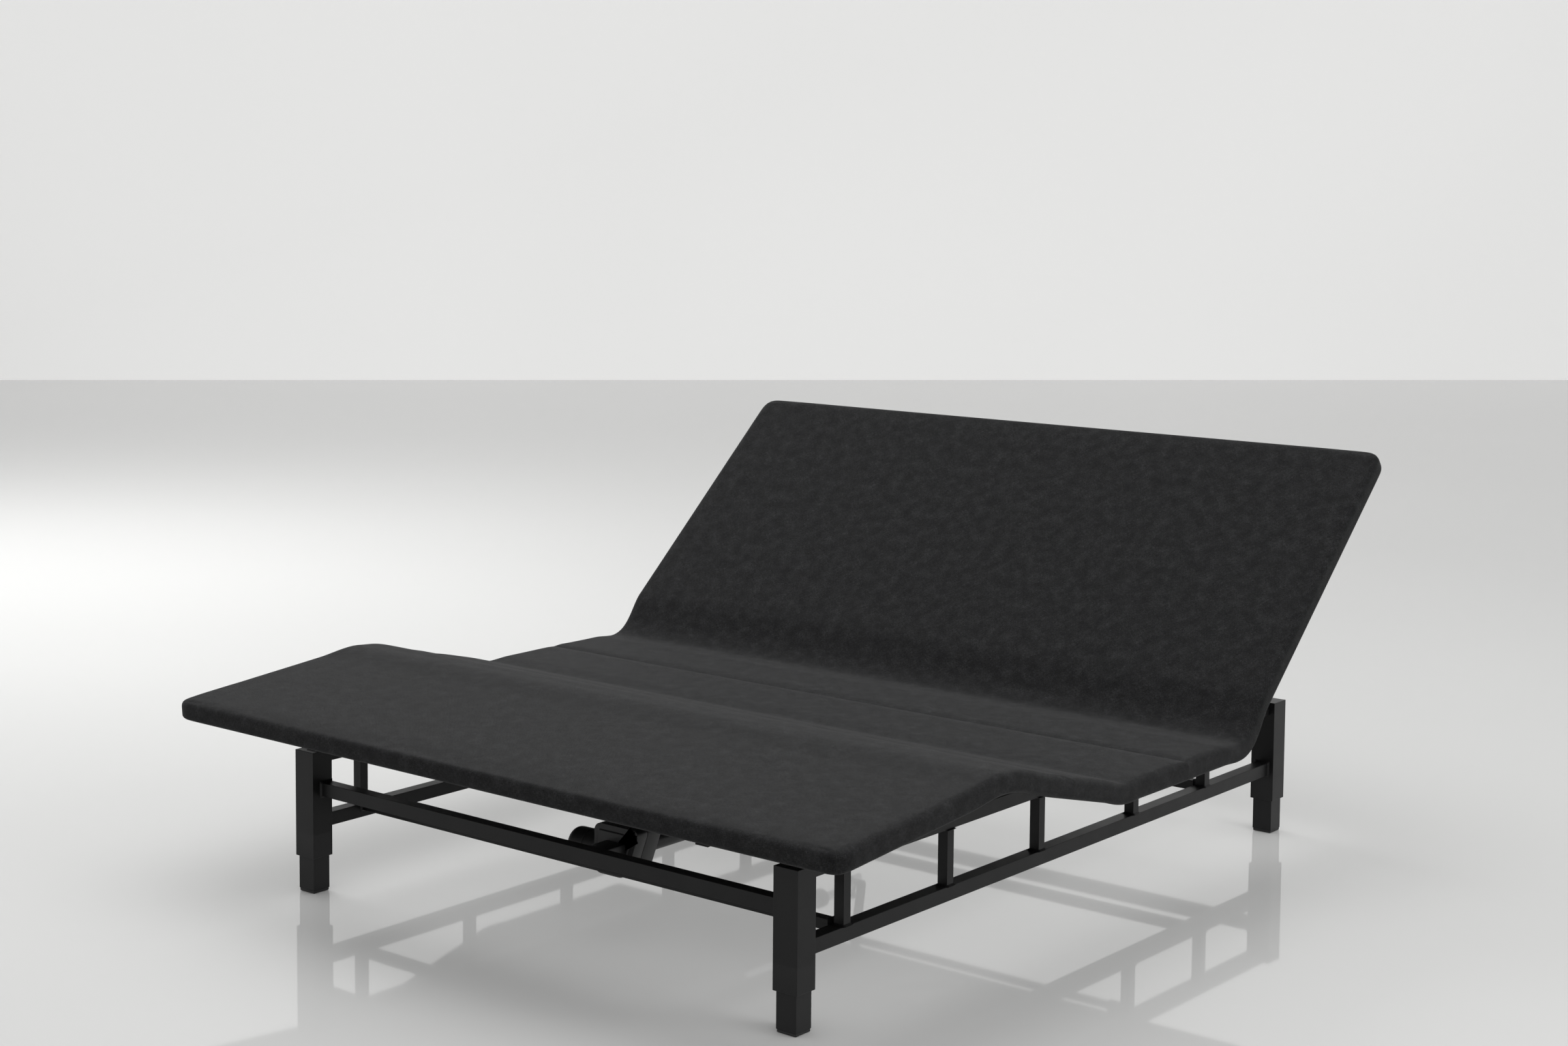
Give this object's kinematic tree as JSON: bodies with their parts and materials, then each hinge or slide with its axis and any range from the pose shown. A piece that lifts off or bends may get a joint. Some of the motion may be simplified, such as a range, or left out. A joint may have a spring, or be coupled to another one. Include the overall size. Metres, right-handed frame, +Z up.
{
  "type": "adjustable bed base",
  "caption": "Powered adjustable bed base: tube frame on four legs, hinged head, thigh and foot deck sections in charcoal fabric, moved by linear actuators.",
  "frame": {"origin": "floor level, under the middle of the outline in plan with the sections raised as stored", "axes": "+X to the right of a sleeper on their back, +Y to the head end, +Z up"},
  "size_m": [1.52, 1.8212, 0.7881],
  "materials": {
    "frame_coat": "satin black powder coat",
    "leg_coat": "satin black powder coat, a little smoother",
    "deck_fabric": "charcoal heathered weave over foam",
    "deck_board": "raw plywood",
    "black_plastic": "fine matt texture",
    "actuator_case": "fine matt texture",
    "rod_steel": "ground steel"
  },
  "bodies": {
    "base": {"control_box": "black_plastic", "foot_crossbar": "frame_coat", "foot_tie_bar": "frame_coat", "head_actuator_bracket": "frame_coat", "head_actuator_housing": "actuator_case", "head_crossbar": "frame_coat", "head_hinge_tube": "frame_coat", "head_tie_bar": "frame_coat", "leg_actuator_housing": "actuator_case", "leg_sleeve_foot_left": "frame_coat", "leg_sleeve_foot_right": "frame_coat", "leg_sleeve_head_left": "frame_coat", "leg_sleeve_head_right": "frame_coat", "link_hanger_left": "frame_coat", "link_hanger_right": "frame_coat", "lower_side_rail_left": "frame_coat", "lower_side_rail_right": "frame_coat", "seat_board": "deck_board", "seat_pad": "deck_fabric", "side_post_left_1": "frame_coat", "side_post_left_2": "frame_coat", "side_post_left_3": "frame_coat", "side_post_left_4": "frame_coat", "side_post_left_5": "frame_coat", "side_post_right_1": "frame_coat", "side_post_right_2": "frame_coat", "side_post_right_3": "frame_coat", "side_post_right_4": "frame_coat", "side_post_right_5": "frame_coat", "thigh_hinge_tube": "frame_coat", "upper_side_rail_left": "frame_coat", "upper_side_rail_right": "frame_coat"},
    "foot_section": {"foot_board": "deck_board", "foot_pad": "deck_fabric", "foot_rail_left": "frame_coat", "foot_rail_right": "frame_coat"},
    "foot_link_left": {"foot_link_left": "frame_coat"},
    "foot_link_right": {"foot_link_right": "frame_coat"},
    "inner_leg_foot_left": {"glide_foot_left": "black_plastic", "inner_leg_foot_left": "leg_coat"},
    "inner_leg_foot_right": {"glide_foot_right": "black_plastic", "inner_leg_foot_right": "leg_coat"},
    "inner_leg_head_left": {"glide_head_left": "black_plastic", "inner_leg_head_left": "leg_coat"},
    "inner_leg_head_right": {"glide_head_right": "black_plastic", "inner_leg_head_right": "leg_coat"},
    "head_actuator_rod": {"head_actuator_rod": "rod_steel"},
    "head_section": {"head_board": "deck_board", "head_lever": "frame_coat", "head_pad": "deck_fabric", "head_rail_left": "frame_coat", "head_rail_right": "frame_coat"},
    "thigh_section": {"knee_tube": "frame_coat", "thigh_board": "deck_board", "thigh_lever": "frame_coat", "thigh_pad": "deck_fabric", "thigh_rail_left": "frame_coat", "thigh_rail_right": "frame_coat"},
    "leg_actuator_rod": {"leg_actuator_rod": "rod_steel"}
  },
  "joints": [
    {"name": "head_lift", "type": "hinge", "parent": "base", "child": "head_section", "pos_m": [0, 0.3509, 0.2545], "axis": [1, 0, 0], "range_deg": [-40.8, 19.2]},
    {"name": "thigh_lift", "type": "hinge", "parent": "base", "child": "thigh_section", "pos_m": [0, -0.0827, 0.2545], "axis": [-1, 0, 0], "range_deg": [-13.9, 20.1]},
    {"name": "knee_fold", "type": "hinge", "parent": "thigh_section", "child": "foot_section", "pos_m": [0, -0.43701, 0.34218], "axis": [1, 0, 0], "range_deg": [-18.35, 26.51]},
    {"name": "head_rod_slide", "type": "slide", "parent": "base", "child": "head_actuator_rod", "axis": [0, 1, 0], "range_m": [-0.07726, 0.03646]},
    {"name": "leg_rod_slide", "type": "slide", "parent": "base", "child": "leg_actuator_rod", "axis": [0, -1, 0], "range_m": [-0.02419, 0.03489]},
    {"name": "foot_link_swing_left", "type": "hinge", "parent": "base", "child": "foot_link_left", "pos_m": [-0.428, -0.0381, 0.20015], "axis": [-1, 0, 0], "range_deg": [-13.43, 19.39]},
    {"name": "foot_link_swing_right", "type": "hinge", "parent": "base", "child": "foot_link_right", "pos_m": [0.428, -0.0381, 0.20015], "axis": [-1, 0, 0], "range_deg": [-13.43, 19.39]},
    {"name": "leg_height_foot_left", "type": "slide", "parent": "base", "child": "inner_leg_foot_left", "axis": [0, 0, -1], "range_m": [0, 0.1]},
    {"name": "leg_height_foot_right", "type": "slide", "parent": "base", "child": "inner_leg_foot_right", "axis": [0, 0, -1], "range_m": [0, 0.1]},
    {"name": "leg_height_head_left", "type": "slide", "parent": "base", "child": "inner_leg_head_left", "axis": [0, 0, -1], "range_m": [0, 0.1]},
    {"name": "leg_height_head_right", "type": "slide", "parent": "base", "child": "inner_leg_head_right", "axis": [0, 0, -1], "range_m": [0, 0.1]}
  ],
  "couplings": [
    {"joint": "knee_fold", "follows": "thigh_lift", "ratio": 1.3165},
    {"joint": "head_rod_slide", "follows": "head_lift", "m_per_rad": 0.10821},
    {"joint": "leg_rod_slide", "follows": "thigh_lift", "m_per_rad": 0.098897},
    {"joint": "foot_link_swing_left", "follows": "thigh_lift", "ratio": 0.96237},
    {"joint": "foot_link_swing_right", "follows": "thigh_lift", "ratio": 0.96237}
  ]
}
